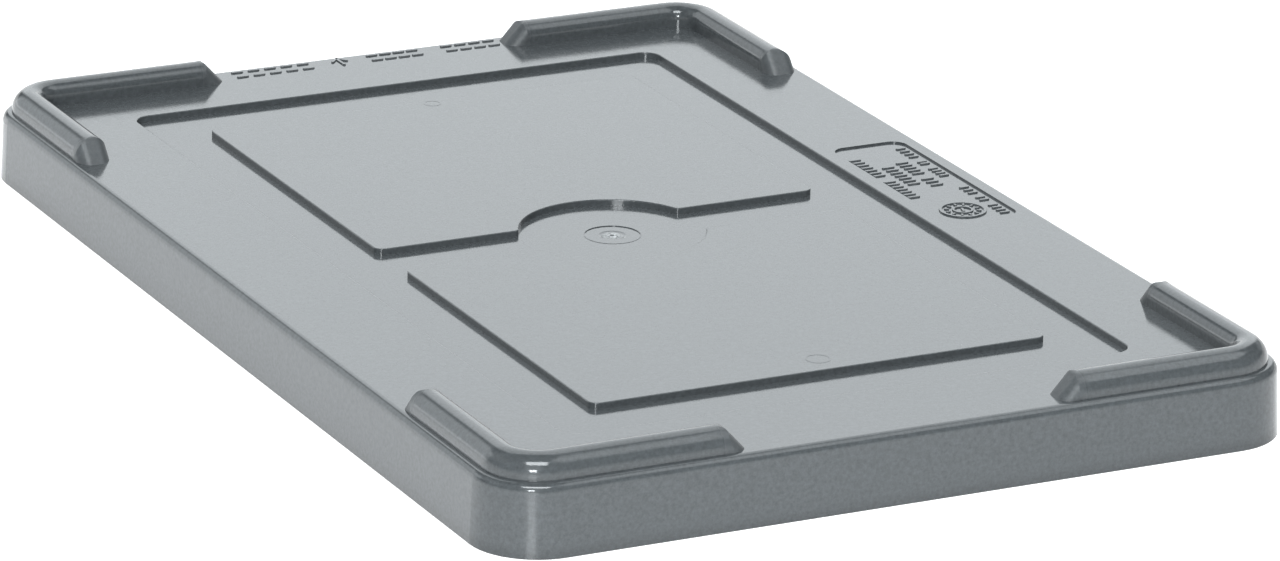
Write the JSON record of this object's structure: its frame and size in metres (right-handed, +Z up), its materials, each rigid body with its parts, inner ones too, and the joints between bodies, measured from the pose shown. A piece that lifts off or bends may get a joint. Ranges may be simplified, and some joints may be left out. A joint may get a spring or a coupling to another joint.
{
  "type": "tote lid",
  "caption": "Rectangular clip-on plastic lid for a stackable tote, with L-shaped corner stacking ridges, a shallow recess, raised pads and a label pocket",
  "frame": {"origin": "centre of the lid on the plane of the skirt's lower edge", "axes": "+Z up out of the deck; Y along the lid's length with the front edge, the one that carries the arrow, at -Y; X across its width with the label pocket at -X"},
  "size_m": [0.275, 0.419, 0.0308],
  "materials": {
    "grey_plastic": "smooth moulded polypropylene with a low sheen"
  },
  "bodies": {
    "root": {"deck_panel": "grey_plastic", "skirt": "grey_plastic", "pad_front": "grey_plastic", "pad_back": "grey_plastic", "gate_disc": "grey_plastic", "ridge_front_left": "grey_plastic", "ridge_front_right": "grey_plastic", "ridge_back_left": "grey_plastic", "ridge_back_right": "grey_plastic", "locating_wall": "grey_plastic", "rim_gussets": "grey_plastic"}
  },
  "joints": []
}
